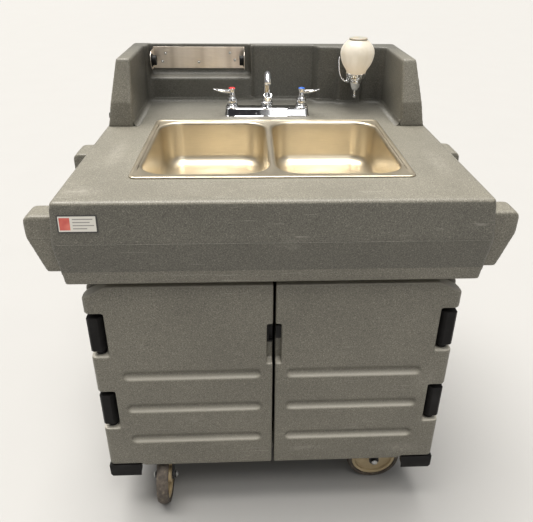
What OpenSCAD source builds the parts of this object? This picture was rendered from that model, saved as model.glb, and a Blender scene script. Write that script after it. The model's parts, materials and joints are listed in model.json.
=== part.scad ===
// Portable handwash sink: a moulded cart with a drop-in double bowl, faucet,
// backsplash, two-door cabinet, water tanks and four casters.
// Millimetres. +X is right, -Y is the front, +Z is up. The origin is on the floor
// under the middle of the overall width and depth.

/* [Counter] */
// Height of the counter top above the floor
counter_z = 940; // [920:1:960]
// Overall depth of the counter moulding at its parting line
counter_d = 850; // [840:1:860]
// Width of the counter at its parting line, without the side lugs
counter_w = 908; // [900:1:916]
// Overall width across the side lugs
overall_w = 1030; // [1020:1:1044]
// Thickness of the deep counter edge
slab_h = 195; // [190:1:200]
// Height of the backsplash above the counter
splash_h = 175; // [160:1:190]

/* [Sink] */
// Width of the steel rim
rim_w = 632; // [620:1:640]
// Depth of the steel rim from front to back
rim_d = 446; // [436:1:450]
// Inside width of one bowl
bowl_w = 288; // [270:1:290]
// Inside length of one bowl from front to back
bowl_d = 396; // [380:1:400]
// Depth of a bowl below the counter top
bowl_h = 128; // [110:1:140]
// Distance from the hot valve to the cold valve
valve_spacing = 203.2; // [200:0.1:204]

/* [Cabinet] */
// Width of the cabinet
cabinet_w = 860; // [850:1:864]
// Height of the doors' lower edge above the floor
door_z = 165; // [160:1:168]
// Height of a door
door_h = 558; // [550:1:562]
// Thickness of a door
door_t = 44; // [42:1:46]
// Width of the gap between the two doors
door_gap = 6; // [4:1:8]
// Height of each groove in the doors
groove_h = 27; // [22:1:30]

/* [Casters] */
// Radius of a caster wheel
wheel_r = 76.2; // [74:0.1:77]
// Width of a caster wheel
wheel_w = 32; // [28:1:34]
// Distance of each caster station from the middle, across the cart
caster_x = 295; // [290:1:300]
// Distance of each caster station from the middle, along the cart
caster_y = 295; // [293:1:297]
// Swivel offset of a wheel behind its kingpin
trail = 46; // [44:1:48]

/* [Hidden] */
$fn = 64;

eps = 0.01;
moulding = "#6d6a5c";
steel = "#c9bfae";
chrome = "#d8dadd";
black = "#1c1b1b";

// Counter moulding
half_d = counter_d / 2;
half_w = counter_w / 2;
parting_z = counter_z - 90;
slab_z = counter_z - slab_h;
draft_top = 10;
draft_side = 7;
draft_bottom = 8;
skin = 12;
edge_wall = 22;
lug_top_z = counter_z - 40;
lug_bottom_z = counter_z - 172;
lug_round = 16;
lug_slope = 30;
lug_root = 30;
front_lug_d = 60;
front_lug_y = -363;
middle_lug_d = 84;
middle_lug_y = 22;
plate_x = -395;
plate_z = counter_z - 44;
faucet_y = 212;

// Sink
rim_y = -72;
rim_t = 3;
cut_inset = 12;
sheet = 1.5;
bowl_x = bowl_w / 2 + 9;
bowl_y = -70;
bowl_floor_z = counter_z - bowl_h;
bowl_corner_r = 60;
drain_x = 150;
drain_y = 5;
drain_hole_r = 44;

// Backsplash
splash_top_z = counter_z + splash_h;
wing_front_y = 95;
wing_top_y = 140;
wing_crease_z = counter_z + 65;
wing_foot_x = 441;
wing_top_x = 411;
wing_inner_x = 372;
wall_y = 370;
recess_y = 405;
recess_x = -46;
centre_y = 385;
right_y = 350;
panel_y = 332;

// Faucet
valve_x = valve_spacing / 2;
pad_h = 3;
deck_z = counter_z + pad_h;
body_top_z = deck_z + 32;
bonnet_top_z = body_top_z + 30;
lever_top_z = bonnet_top_z + 14;
spout_r = 9.4;
spout_bend_r = 40;
spout_bend = 150;

// Towel holder and soap dispenser
towel_w = 286;
towel_h = 66;
towel_x = -208;
towel_z = counter_z + 132;
soap_x = 271;
soap_y = 276;
soap_z = counter_z + 113;

// Cabinet and doors
body_front_y = -336;
body_back_y = 420;
door_front_y = -385;
door_back_y = door_front_y + door_t;
cabinet_z = 164;
floor_z = 192;
floor_t = 30;
wall_t = 25;
shoulder_z = 693;
shoulder_h = 42;
shoulder_in = 22;
pin_x = 407;
pin_y = -363;
pin_r = 5;
hinge_clear = 0.05;
notch_w = 43;
notch_z = [300, 530];
notch_h = 122;
foot_in_x = 347;
groove_x0 = 30;
groove_x1 = 362;
groove_z = 262;
groove_pitch = 104;
recess_w = 17;
recess_z = 500;
recess_h = 115;
latch_z = 604;
latch_y = -371;

// Casters
plate_l = 100;
plate_d = 72;
plate_t = 6;
race_h = 18;
foot_z = 128;
front_bumper_d = 84;
wheel_sweep_low = 104.5;
wheel_sweep_high = 92;
axle_r = 6;
axle_clear = 0.05;
fork_gap = wheel_w + 6;
fork_t = 4;
crown_z = floor_z - plate_t - race_h;

// Tanks
tank_z = floor_z + floor_t;
tank_h = 330;

// ---------- shared shapes ----------

// Rectangle with round corners, centred on the origin
module round_rect(w, d, r) {
    square([w - 2 * r, d], center = true);
    square([w, d - 2 * r], center = true);
    for (sx = [-1, 1], sy = [-1, 1])
        translate([sx * (w / 2 - r), sy * (d / 2 - r)]) circle(r);
}

// Upright plate with round corners
module round_plate(w, d, h, r) {
    linear_extrude(h) round_rect(w, d, r);
}

// XZ outline extruded along Y, from y0 to y1
module along_y(y0, y1) {
    translate([0, y1, 0]) rotate([90, 0, 0]) linear_extrude(y1 - y0) children();
}

// YZ outline extruded along X, from x0 to x1
module along_x(x0, x1) {
    translate([x0, 0, 0]) rotate([90, 0, 90]) linear_extrude(x1 - x0) children();
}

// Cylinder along X, centred on the origin
module rod_x(r, l) {
    rotate([0, 90, 0]) cylinder(r = r, h = l, center = true);
}

// Cylinder along Y, centred on the origin
module rod_y(r, l) {
    rotate([90, 0, 0]) cylinder(r = r, h = l, center = true);
}

module mirror_x() {
    mirror([1, 0, 0]) children();
}

module both_sides() {
    children();
    mirror_x() children();
}

// ---------- counter ----------

// Side lug that stands out of the counter edge, depth d along Y
module lug(y, d) {
    out = overall_w / 2;
    root_x = half_w - lug_root;
    translate([0, y, 0]) along_y(-d / 2, d / 2) {
        polygon([[root_x, lug_bottom_z], [out - lug_slope, lug_bottom_z],
            [out, lug_top_z - 3 * lug_round], [out, lug_top_z - lug_round],
            [out - lug_round, lug_top_z], [root_x, lug_top_z]]);
        translate([out - lug_round, lug_top_z - lug_round]) circle(lug_round);
    }
}

// Outer block of the counter, wider at its parting line than at top and bottom
module counter_block() {
    intersection() {
        along_y(-half_d, half_d)
            polygon([[-half_w + draft_bottom, slab_z], [half_w - draft_bottom, slab_z],
                [half_w, parting_z], [half_w - draft_side, counter_z],
                [-half_w + draft_side, counter_z], [-half_w, parting_z]]);
        along_x(-half_w, half_w)
            polygon([[-half_d + 2 * draft_bottom, slab_z], [half_d - draft_bottom, slab_z],
                [half_d, parting_z], [half_d, counter_z], [-half_d + draft_top, counter_z],
                [-half_d, parting_z]]);
    }
}

module countertop() {
    color(moulding) difference() {
        union() {
            counter_block();
            both_sides() {
                lug(front_lug_y, front_lug_d);
                lug(middle_lug_y, middle_lug_d);
            }
            translate([0, faucet_y, counter_z - eps]) round_plate(270, 90, pad_h, 12);
        }
        translate([-half_w + edge_wall + draft_top, -half_d + edge_wall + 14, slab_z + skin])
            cube([counter_w - 2 * (edge_wall + draft_top), counter_d - 2 * edge_wall - 24,
                slab_h - 2 * skin]);
        translate([-380, -300, slab_z - 1]) cube([760, 660, skin + 2]);
        translate([0, rim_y, slab_z])
            round_plate(rim_w - 2 * cut_inset, rim_d - 2 * cut_inset, slab_h + 1, 20);
        for (x = [-valve_x, valve_x])
            translate([x, faucet_y, slab_z]) cylinder(r = 16, h = slab_h + 10);
    }
}

// Outline of the walls' inner faces, seen from above
module splash_room() {
    polygon([[-wing_inner_x, 0], [-wing_inner_x, wall_y - 12], [-wing_inner_x + 12, wall_y],
        [-44, wall_y + 2], [-34, centre_y], [148, centre_y], [166, right_y],
        [222, right_y], [230, panel_y], [298, panel_y], [306, right_y],
        [wing_inner_x - 12, right_y], [wing_inner_x, right_y - 12], [wing_inner_x, 0]]);
}

module backsplash() {
    color(moulding) difference() {
        intersection() {
            along_y(0, half_d)
                polygon([[-wing_foot_x, counter_z], [wing_foot_x, counter_z],
                    [wing_top_x, splash_top_z], [-wing_top_x, splash_top_z]]);
            along_x(-wing_foot_x, wing_foot_x)
                polygon([[wing_front_y, counter_z], [half_d - 2, counter_z],
                    [half_d - 12, splash_top_z], [wing_top_y, splash_top_z],
                    [wing_front_y + 4, wing_crease_z]]);
        }
        translate([0, 0, counter_z - 1]) linear_extrude(splash_h + 2) splash_room();
        along_x(-wing_inner_x + 10, recess_x)
            polygon([[wall_y - 1, counter_z + 75], [recess_y, counter_z + 83],
                [recess_y, splash_top_z + 1], [wall_y - 1, splash_top_z + 1]]);
    }
}

// Hand knobs that clamp the backsplash's feet; their stems sink into the moulding
module backsplash_knobs() {
    color(black) both_sides() for (y = [150, 380])
        translate([-wing_foot_x + 3, y, counter_z + 16]) {
            translate([-5.5, 0, 0]) rod_x(9, 9);
            rod_x(5, 10);
        }
}

// Blank plate on the sloped front, just proud of the moulding
module info_plate() {
    drop = counter_z - parting_z;
    slope_y = -half_d + draft_top * (plate_z - parting_z) / drop;
    color("#e8e6e0") translate([plate_x, slope_y - 0.05, plate_z])
        rotate([90 - atan(draft_top / drop), 0, 0]) linear_extrude(1.2) round_rect(80, 38, 3);
}

// ---------- sink ----------

module bowl_shell(grow, z0, z1) {
    for (x = [-bowl_x, bowl_x])
        translate([x, bowl_y, z0])
            round_plate(bowl_w + 2 * grow, bowl_d + 2 * grow, z1 - z0, bowl_corner_r + grow);
}

module sink_basin() {
    color(steel) difference() {
        union() {
            translate([0, rim_y, counter_z + 1]) round_plate(rim_w, rim_d, rim_t, 16);
            bowl_shell(sheet, bowl_floor_z, counter_z + 1 + rim_t / 2);
        }
        bowl_shell(0, bowl_floor_z + sheet, counter_z + 10);
        for (x = [-drain_x, drain_x])
            translate([x, drain_y, bowl_floor_z - 1]) cylinder(r = drain_hole_r, h = 5);
    }
}

module sink_gasket() {
    color("#2b2723") translate([0, rim_y, counter_z]) difference() {
        round_plate(rim_w - 4, rim_d - 4, 1, 14);
        translate([0, 0, -1]) round_plate(rim_w - 22, rim_d - 22, 3, 12);
    }
}

// One hook clamp under the rim, its foot against the underside of the counter
module sink_clamp() {
    translate([-6, 0, -skin - 26]) cube([12, 3, 26 + skin - 4]);
    translate([-6, 0, -skin - 26]) cube([12, 24, 3]);
    translate([0, 18, -skin - 23]) cylinder(r = 3, h = 23);
}

module underside_clamps() {
    color("#9a9a96") {
        for (x = [-200, 200]) {
            translate([x, rim_y + rim_d / 2 - cut_inset - 3.2, counter_z]) sink_clamp();
            translate([x, rim_y - rim_d / 2 + cut_inset + 3.2, counter_z])
                rotate([0, 0, 180]) sink_clamp();
        }
        for (x = [-valve_x, valve_x])
            translate([x, faucet_y, counter_z - skin - 9]) difference() {
                cylinder(r = 24, h = 9);
                translate([0, 0, -1]) cylinder(r = 11, h = 11);
            }
    }
}

// Flanged strainer cup with a perforated plate, and the lock nut under the bowl
module strainer() {
    difference() {
        union() {
            cylinder(r = 57, h = 2);
            translate([0, 0, -46]) cylinder(r = 42, h = 47);
            translate([0, 0, -sheet - 11]) cylinder(r = 54, h = 11);
        }
        translate([0, 0, -8]) cylinder(r = 38, h = 11);
        translate([0, 0, -44]) cylinder(r = 34, h = 34);
        for (a = [0:30:330]) rotate([0, 0, a])
            translate([24, 0, -12]) cylinder(r = 3.5, h = 8, $fn = 24);
        for (a = [0:60:300]) rotate([0, 0, a])
            translate([12, 0, -12]) cylinder(r = 3.5, h = 8, $fn = 24);
        translate([0, 0, -50]) cylinder(r = 17, h = 10);
    }
}

module drain_strainers() {
    color(chrome) for (x = [-drain_x, drain_x])
        translate([x, drain_y, bowl_floor_z + sheet]) strainer();
}

// Two tailpieces, a cross pipe with falls to the middle, and a hose spigot
module drain_manifold() {
    top_z = bowl_floor_z + sheet - 46;
    cross_z = 690;
    color("#e4e2da") difference() {
        union() {
            for (x = [-drain_x, drain_x]) translate([x, drain_y, cross_z]) {
                cylinder(r = 19, h = top_z - cross_z);
                translate([0, 0, top_z - cross_z - 16]) cylinder(r = 26, h = 16);
                sphere(19);
            }
            translate([0, drain_y, cross_z]) rod_x(19, 2 * drain_x);
            translate([-drain_x, drain_y, cross_z - 50]) cylinder(r = 16, h = 50);
        }
        for (x = [-drain_x, drain_x])
            translate([x, drain_y, cross_z]) cylinder(r = 15.5, h = top_z);
        translate([0, drain_y, cross_z]) rod_x(15.5, 2 * drain_x);
        translate([-drain_x, drain_y, cross_z - 51]) cylinder(r = 12.5, h = 55);
    }
}

module drain_hose() {
    color("#8f918e") translate([-drain_x, drain_y, tank_z + tank_h + 24]) difference() {
        union() {
            cylinder(r = 20, h = 78);
            for (i = [0:9]) translate([0, 0, 4 + 7 * i]) cylinder(r = 22, h = 3.5);
        }
        translate([0, 0, -1]) cylinder(r = 16, h = 80);
    }
}

// ---------- faucet ----------

module faucet_body() {
    color(chrome) translate([0, faucet_y, deck_z]) {
        difference() {
            union() {
                round_plate(250, 58, 5, 14);
                round_plate(246, 54, 22, 14);
                for (x = [-valve_x, valve_x]) translate([x, 0, 0]) cylinder(r = 20, h = 32);
                cylinder(r = 17, h = 33);
            }
            translate([0, 0, 17.7]) cylinder(r = 9.05, h = 20);
        }
        for (x = [-valve_x, valve_x]) translate([x, 0, -60]) cylinder(r = 10, h = 60 + eps);
    }
}

module faucet_bonnets() {
    color(chrome) for (x = [-valve_x, valve_x])
        translate([x, faucet_y, body_top_z]) {
            cylinder(r = 15, h = 8, $fn = 6);
            translate([0, 0, 8]) cylinder(r = 12.5, h = 16);
            cylinder(r = 6, h = 30);
        }
}

// Blade lever that points to +X from its hub
module lever() {
    translate([0, 0, bonnet_top_z]) {
        difference() {
            translate([0, 0, -5.6]) cylinder(r = 10.8, h = 19.6);
            translate([0, 0, -6]) cylinder(r = 6.05, h = 6.3);
        }
        hull() {
            translate([6, 0, 6]) sphere(6, $fn = 24);
            translate([24, 0, 7]) sphere(4.5, $fn = 24);
        }
        hull() {
            translate([24, 0, 7]) sphere(4.5, $fn = 24);
            translate([36, 0, 9]) scale([1.1, 1, 0.36]) sphere(11, $fn = 24);
        }
        hull() {
            translate([36, 0, 9]) scale([1.1, 1, 0.36]) sphere(11, $fn = 24);
            translate([50, 0, 12]) scale([1, 1, 0.5]) sphere(6, $fn = 24);
        }
    }
}

module hot_lever() {
    color(chrome) translate([-valve_x, faucet_y, 0]) mirror_x() lever();
}

module cold_lever() {
    color(chrome) translate([valve_x, faucet_y, 0]) lever();
}

module lever_cap() {
    translate([0, faucet_y, lever_top_z]) {
        cylinder(r = 10, h = 1.4);
        translate([0, 0, 1.4]) cylinder(r1 = 10, r2 = 7.5, h = 1.6);
    }
}

module hot_cap() {
    color("#b8262c") translate([-valve_x, 0, 0]) lever_cap();
}

module cold_cap() {
    color("#2c55b0") translate([valve_x, 0, 0]) lever_cap();
}

// Gooseneck: an upright tube and a bend that leans out over the bowls
module spout() {
    rise = 66;
    color(chrome) translate([0, faucet_y, deck_z + 18]) {
        cylinder(r = 9, h = 16);
        translate([0, 0, 15.3]) cylinder(r = 17, h = 12);
        translate([0, 0, 27]) cylinder(r1 = 15, r2 = spout_r, h = 8);
        translate([0, 0, 16]) cylinder(r = spout_r, h = rise - 16 + eps);
        translate([0, -spout_bend_r, rise]) rotate([90, 0, 90])
            rotate_extrude(angle = spout_bend) translate([spout_bend_r, 0]) circle(spout_r);
    }
}

module aerator() {
    color(chrome) translate([0, faucet_y - spout_bend_r, deck_z + 84])
        rotate([-spout_bend, 0, 0]) translate([0, spout_bend_r, 0])
            translate([0, 0, -13]) difference() {
                cylinder(r = 11.5, h = 13);
                translate([0, 0, -1]) cylinder(r = 8.5, h = 7);
            }
}

// ---------- towel holder and soap dispenser ----------

module towel_plate() {
    plate_t = 1.6;
    arm_l = 72;
    arm_r = 28;
    color(steel) translate([towel_x, recess_y - plate_t, towel_z]) {
        translate([-towel_w / 2, 0, -towel_h / 2]) cube([towel_w, plate_t, towel_h]);
        for (side = [-1, 1]) translate([side * (towel_w / 2 - plate_t / 2), 0, 0]) {
            translate([-plate_t / 2, arm_r - arm_l, -arm_r])
                cube([plate_t, arm_l - arm_r + eps, 2 * arm_r]);
            translate([0, arm_r - arm_l, 0]) rod_x(arm_r, plate_t);
        }
    }
}

module towel_hubs() {
    color(black) for (side = [-1, 1])
        translate([towel_x + side * (towel_w / 2 - 1.6), recess_y - 50, towel_z]) {
            translate([-side * 7, 0, 0]) rod_x(15, 14);
            translate([-side * 1.2, 0, 0]) rod_x(20, 2.4);
        }
}

// Round head with a shank that ends in the wall
module dome_screw() {
    translate([0, -1.6, 0]) rod_y(4.5, 1.6 + eps);
    translate([0, -2.4, 0]) sphere(3.2);
}

module towel_screws() {
    color(chrome) for (p = [[-105, 13], [-116, -12], [-2, -14], [97, 15], [112, -7]])
        translate([towel_x + p[0], recess_y - 2.4, towel_z + p[1]]) dome_screw();
}

// Wall flange, arm and the ring that carries the globe
module soap_bracket() {
    ring_z = soap_z - 16;
    color(chrome) {
        translate([soap_x - 20, panel_y - 4, ring_z - 26]) cube([40, 4, 92]);
        for (x = [-22, 22]) translate([soap_x + x - 3, soap_y, ring_z + 2])
            cube([6, panel_y - soap_y - 3, 6]);
        translate([soap_x, soap_y, ring_z]) difference() {
            cylinder(r = 28, h = 10);
            translate([0, 0, -1]) cylinder(r = 22, h = 12);
        }
    }
}

// Blown globe with a short neck at each end
module soap_globe() {
    color("#ece4d0") translate([soap_x, soap_y, soap_z]) rotate_extrude() difference() {
        intersection() {
            union() {
                translate([0, 45]) circle(51);
                translate([0, -6]) square([21.7, 20]);
                translate([0, 84]) square([26, 9]);
            }
            translate([0, -6]) square([60, 99]);
        }
        translate([0, 45]) circle(48);
        translate([0, -7]) square([18, 20]);
        translate([0, 84]) square([23, 10]);
    }
}

module soap_cap() {
    color("#efe9dc") translate([soap_x, soap_y, soap_z + 93.3]) {
        cylinder(r = 27, h = 4);
        translate([0, 0, 4]) cylinder(r1 = 27, r2 = 23, h = 3);
    }
}

// Cone-shaped valve body under the globe, bored for the push rod
module soap_valve() {
    color(chrome) translate([soap_x, soap_y, soap_z]) difference() {
        union() {
            translate([0, 0, -16.3 - 8]) cylinder(r = 26, h = 8);
            translate([0, 0, -54]) cylinder(r1 = 9, r2 = 24, h = 30);
            translate([0, 0, -24.3]) cylinder(r = 17.5, h = 30);
        }
        translate([0, 0, -55]) cylinder(r = 4.05, h = 72);
        translate([0, 0, -30]) cylinder(r = 13, h = 40);
    }
}

module soap_plunger() {
    color(chrome) translate([soap_x, soap_y, soap_z]) {
        translate([0, 0, -68]) cylinder(r = 4, h = 54);
        translate([0, 0, -14]) cylinder(r = 8, h = 3);
        translate([0, 0, -72]) sphere(5.5);
    }
}

// ---------- cabinet ----------

// Outline of the cabinet seen from the front, with its sloped shoulders
module cabinet_outline(half, z0) {
    top = half - shoulder_in;
    polygon([[-half, z0], [half, z0], [half, shoulder_z], [top, shoulder_z + shoulder_h],
        [top, slab_z], [-top, slab_z], [-top, shoulder_z + shoulder_h], [-half, shoulder_z]]);
}

module cabinet_body() {
    half = cabinet_w / 2;
    inner = half - wall_t;
    skirt = 14;
    color(moulding) difference() {
        along_y(body_front_y, body_back_y) cabinet_outline(half, cabinet_z);
        along_y(body_front_y - 1, body_back_y - wall_t)
            polygon([[-inner, floor_z + floor_t], [inner, floor_z + floor_t],
                [inner, shoulder_z - 3], [inner - 15, shoulder_z + 19],
                [-inner + 15, shoulder_z + 19], [-inner, shoulder_z - 3]]);
        translate([-inner + 15, body_front_y + 30, shoulder_z + 7])
            cube([2 * inner - 30, body_back_y - body_front_y - wall_t - 60, slab_h]);
        translate([-half + skirt, body_front_y + skirt, cabinet_z - 1])
            cube([cabinet_w - 2 * skirt, body_back_y - body_front_y - 2 * skirt,
                floor_z - cabinet_z + 1]);
        for (x = [-caster_x, caster_x])
            translate([x - plate_l / 2 - 5, body_front_y - 1, cabinet_z - 1])
                cube([plate_l + 10, skirt + 2, floor_z - cabinet_z + 1]);
        translate([-320, body_back_y - wall_t - 1, 470]) cube([90, wall_t + 2, 60]);
        for (side = [-1, 1], z = notch_z)
            translate([side * (half - 25) - 12.2, body_front_y - 1, z - 4])
                cube([24.4, 5, 24.4]);
    }
}

// Closed right door before its cut-outs; its outer rear edge is round about the pin
module door_blank() {
    in_x = door_gap / 2;
    out_x = pin_x + 22;
    top = door_z + door_h;
    intersection() {
        along_y(door_front_y, door_back_y)
            polygon([[in_x, door_z], [foot_in_x - 11, door_z], [foot_in_x, door_z + 7],
                [out_x, door_z + 7], [out_x, top - 30], [out_x - 57, top], [in_x, top]]);
        translate([0, 0, door_z - 1]) linear_extrude(door_h + 2) {
            translate([in_x, door_front_y]) square([pin_x - in_x, door_t]);
            translate([pin_x, pin_y]) circle(22);
            translate([pin_x - 2, door_front_y]) square([10, 15]);
            translate([out_x - 14, door_front_y + 14]) circle(14);
            translate([pin_x, door_front_y + 14]) square([22, 10]);
        }
    }
}

// Horizontal groove with round ends in the door's face
module groove(z) {
    r = groove_h / 2 + 0.6;
    for (x = [groove_x0 + r, groove_x1 - r]) translate([x, door_front_y - 4, z]) sphere(r);
    translate([(groove_x0 + groove_x1) / 2, door_front_y - 4, z])
        rod_x(r, groove_x1 - groove_x0 - 2 * r);
}

module door() {
    out_x = pin_x + 22;
    difference() {
        door_blank();
        for (i = [0:2]) groove(groove_z + groove_pitch * i);
        for (z = notch_z) {
            translate([out_x - notch_w, door_front_y - 1, z])
                cube([notch_w + 1, door_t + 2, notch_h]);
            translate([out_x - notch_w - 42, door_back_y - 4, z + 26]) cube([43, 5, 82]);
            translate([pin_x, pin_y, z - 24]) cylinder(r = pin_r + hinge_clear, h = 26);
        }
        translate([0, door_front_y - 1, recess_z]) cube([recess_w, 25, recess_h]);
    }
}

module left_door() {
    color(moulding) mirror_x() door();
}

module right_door() {
    color(moulding) {
        door();
        translate([recess_w - 5, latch_y, latch_z]) rod_x(3, 12);
    }
}

// Two hinge blocks of the right door; each has a leaf let into the door's back
module knuckles() {
    block_h = 94;
    in_x = pin_x - 17;
    out_x = pin_x + 19;
    for (z = notch_z) translate([0, 0, z + 15]) difference() {
        union() {
            linear_extrude(block_h)
                polygon([[in_x, door_front_y + 13], [in_x, door_back_y],
                    [out_x - 6, door_back_y], [out_x, pin_y + 15], [out_x, door_front_y + 6],
                    [out_x - 5, door_front_y + 2], [in_x + 11, door_front_y + 2]]);
            translate([in_x - 45, door_back_y - 4, 12]) cube([46, 4, 80]);
        }
        translate([pin_x, pin_y, -1]) cylinder(r = pin_r + hinge_clear, h = block_h - 18);
    }
}

module left_hinge_knuckles() {
    color(black) mirror_x() knuckles();
}

module right_hinge_knuckles() {
    color(black) knuckles();
}

// Cabinet half of each hinge: a plate let into the cabinet and a lug under the knuckle
module hinge_brackets() {
    color(black) both_sides() for (z = notch_z) difference() {
        union() {
            translate([pin_x, pin_y, z + 2]) cylinder(r = 13, h = 12.5);
            translate([pin_x - 10, pin_y, z + 2]) cube([20, body_front_y - pin_y + 1, 12.5]);
            translate([pin_x - 14, body_front_y, z - 4]) cube([24, 4, 24]);
        }
        translate([pin_x, pin_y, z]) cylinder(r = pin_r, h = 20);
    }
}

module hinge_pins() {
    color("#8c8c88") both_sides() for (z = notch_z)
        translate([pin_x, pin_y, z - 20]) cylinder(r = pin_r, h = 106);
}

// Finger paddle in the upper half of the right door's recess, on a stub axle
module latch_lever() {
    color(black) difference() {
        along_x(door_gap / 2 + 0.5, recess_w - 0.5)
            polygon([[latch_y - 8, latch_z - 32], [latch_y + 5, latch_z - 38],
                [latch_y + 7, latch_z + 4], [latch_y, latch_z + 8], [latch_y - 8, latch_z + 4]]);
        translate([recess_w - 5, latch_y, latch_z]) rod_x(3.05, 13);
    }
}

module latch_strike() {
    color(black) translate([-recess_w, door_front_y + 6, latch_z - 43]) difference() {
        cube([recess_w - door_gap / 2, 18, 54]);
        translate([4, -1, 4]) cube([recess_w, 13, 46]);
    }
}

// Nylon bumper blocks under the counter that the closed doors rest against
module door_catches() {
    color(black) both_sides()
        translate([24, door_back_y + 0.3, 700]) cube([30, body_front_y - door_back_y - 0.3, 14]);
}

// Corner foot under the closed door; hollowed to clear the swivelling wheel
module corner_bumper(front) {
    half = cabinet_w / 2;
    difference() {
        translate([0, front, 0]) along_y(0, front_bumper_d)
            polygon([[foot_in_x + 2, foot_z], [half - 5, foot_z], [half, foot_z + 7],
                [half, cabinet_z + 4], [foot_in_x, cabinet_z + 4]]);
        translate([caster_x, -caster_y, foot_z - 8]) cylinder(r = wheel_sweep_low, h = 22);
        translate([caster_x, -caster_y, foot_z - 8]) cylinder(r = wheel_sweep_high, h = 35);
        translate([foot_in_x - 7, body_front_y, cabinet_z]) cube([100, 100, 10]);
    }
}

module corner_bumpers() {
    color(black) both_sides() {
        corner_bumper(door_front_y);
        mirror([0, 1, 0]) intersection() {
            corner_bumper(-body_back_y);
            translate([foot_in_x - 7, -body_back_y, foot_z - 8])
                cube([100, front_bumper_d, cabinet_z - foot_z + 8]);
        }
    }
}

// ---------- casters ----------

// Crowned rubber tread on a straight-sided band
module tyre() {
    band = wheel_w - 2;
    rotate([0, 90, 0]) rotate_extrude() {
        translate([wheel_r - 14, -band / 2]) square([9, band]);
        intersection() {
            translate([wheel_r - 22, 0]) circle(22);
            translate([wheel_r - 14, -band / 2]) square([20, band]);
        }
    }
}

module hub() {
    rotate([0, 90, 0]) rotate_extrude() {
        translate([54, -13]) square([wheel_r - 14 - 54, 26]);
        translate([20, -5]) square([35, 10]);
        translate([axle_r + axle_clear, -17]) square([15, 34]);
    }
}

// Fork leg in the YZ plane, from the crown down to the axle
module fork_leg(offset_y) {
    top_z = crown_z - wheel_r;
    along_x(-fork_t / 2, fork_t / 2) {
        polygon([[-offset_y - 26, top_z], [-offset_y + 26, top_z], [11, 0], [-11, 0]]);
        circle(14);
    }
}

// Fork about the wheel centre; the crown sits over the kingpin at -offset_y
module fork(offset_y) {
    difference() {
        union() {
            for (side = [-1, 1])
                translate([side * (fork_gap + fork_t) / 2, 0, 0]) fork_leg(offset_y);
            translate([-fork_gap / 2 - fork_t, -offset_y - 26, crown_z - wheel_r - 5])
                cube([fork_gap + 2 * fork_t, 52, 5]);
        }
        rod_x(axle_r, fork_gap + 30);
    }
}

// Axle bolt with a head and a nut outside the fork legs
module axle() {
    half = fork_gap / 2 + fork_t;
    rod_x(axle_r, 2 * half);
    for (side = [-1, 1]) translate([side * (half + 3), 0, 0]) {
        rotate([0, 90, 0]) cylinder(r = 10, h = 6, center = true, $fn = 6);
        translate([side * 3, 0, 0]) rod_x(5, 3);
    }
}

module rigid_forks() {
    color("#3a3a3c") for (y = [-caster_y, caster_y])
        translate([caster_x, y, wheel_r]) rotate([0, 0, 90]) {
            fork(0);
            axle();
            translate([-31, -26, crown_z - wheel_r - eps]) cube([62, 52, race_h + eps]);
            translate([-plate_d / 2, -plate_l / 2, floor_z - plate_t - wheel_r])
                cube([plate_d, plate_l, plate_t]);
        }
}

module swivel_plates() {
    color("#3a3a3c") for (y = [-caster_y, caster_y])
        translate([-caster_x, y, floor_z - plate_t]) {
            translate([-plate_l / 2, -plate_d / 2, 0]) cube([plate_l, plate_d, plate_t]);
            translate([0, 0, -8]) cylinder(r = 29, h = 8 + eps);
            translate([0, 0, -race_h - 9]) cylinder(r = 7, h = race_h + 9);
            translate([0, 0, -race_h - 11.3]) cylinder(r = 11, h = 6);
        }
}

// Fork that turns about the kingpin, with its race ring and axle bolt
module swivel_fork(y) {
    color("#3a3a3c") translate([-caster_x, y - trail, wheel_r]) {
        difference() {
            union() {
                fork(-trail);
                translate([0, trail, crown_z - wheel_r - eps]) cylinder(r = 30, h = 9.5);
                for (x = [-17, 14]) translate([x, 64, 50]) cube([3, 12, crown_z - wheel_r - 50]);
                translate([0, 70, 56]) rod_x(3, 34);
            }
            translate([0, trail, crown_z - wheel_r - 10]) cylinder(r = 7.05, h = 30);
        }
        axle();
    }
}

module front_swivel_fork() {
    swivel_fork(-caster_y);
}

module rear_swivel_fork() {
    swivel_fork(caster_y);
}

// Tread pedal behind the kingpin; its shoe hangs over the tyre
module brake_pedal(y) {
    color("#2c2c2e") translate([-caster_x, y - trail, wheel_r]) difference() {
        union() {
            along_x(-13, 13)
                polygon([[62, 58], [78, 46], [112, 40], [112, 46], [80, 54], [66, 64]]);
            translate([0, 70, 56]) rod_x(7, 26);
        }
        translate([0, 70, 56]) rod_x(3.05, 30);
    }
}

module front_brake_pedal() {
    brake_pedal(-caster_y);
}

module rear_brake_pedal() {
    brake_pedal(caster_y);
}

module left_wheel_place(y) {
    translate([-caster_x, y - trail, wheel_r]) children();
}

module right_wheel_place(y) {
    translate([caster_x, y, wheel_r]) rotate([0, 0, 90]) children();
}

module front_left_tyre() { color(black) left_wheel_place(-caster_y) tyre(); }
module rear_left_tyre() { color(black) left_wheel_place(caster_y) tyre(); }
module front_right_tyre() { color(black) right_wheel_place(-caster_y) tyre(); }
module rear_right_tyre() { color(black) right_wheel_place(caster_y) tyre(); }
module front_left_hub() { color("#c9b68d") left_wheel_place(-caster_y) hub(); }
module rear_left_hub() { color("#c9b68d") left_wheel_place(caster_y) hub(); }
module front_right_hub() { color("#c9b68d") right_wheel_place(-caster_y) hub(); }
module rear_right_hub() { color("#c9b68d") right_wheel_place(caster_y) hub(); }

// ---------- water system ----------

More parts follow.
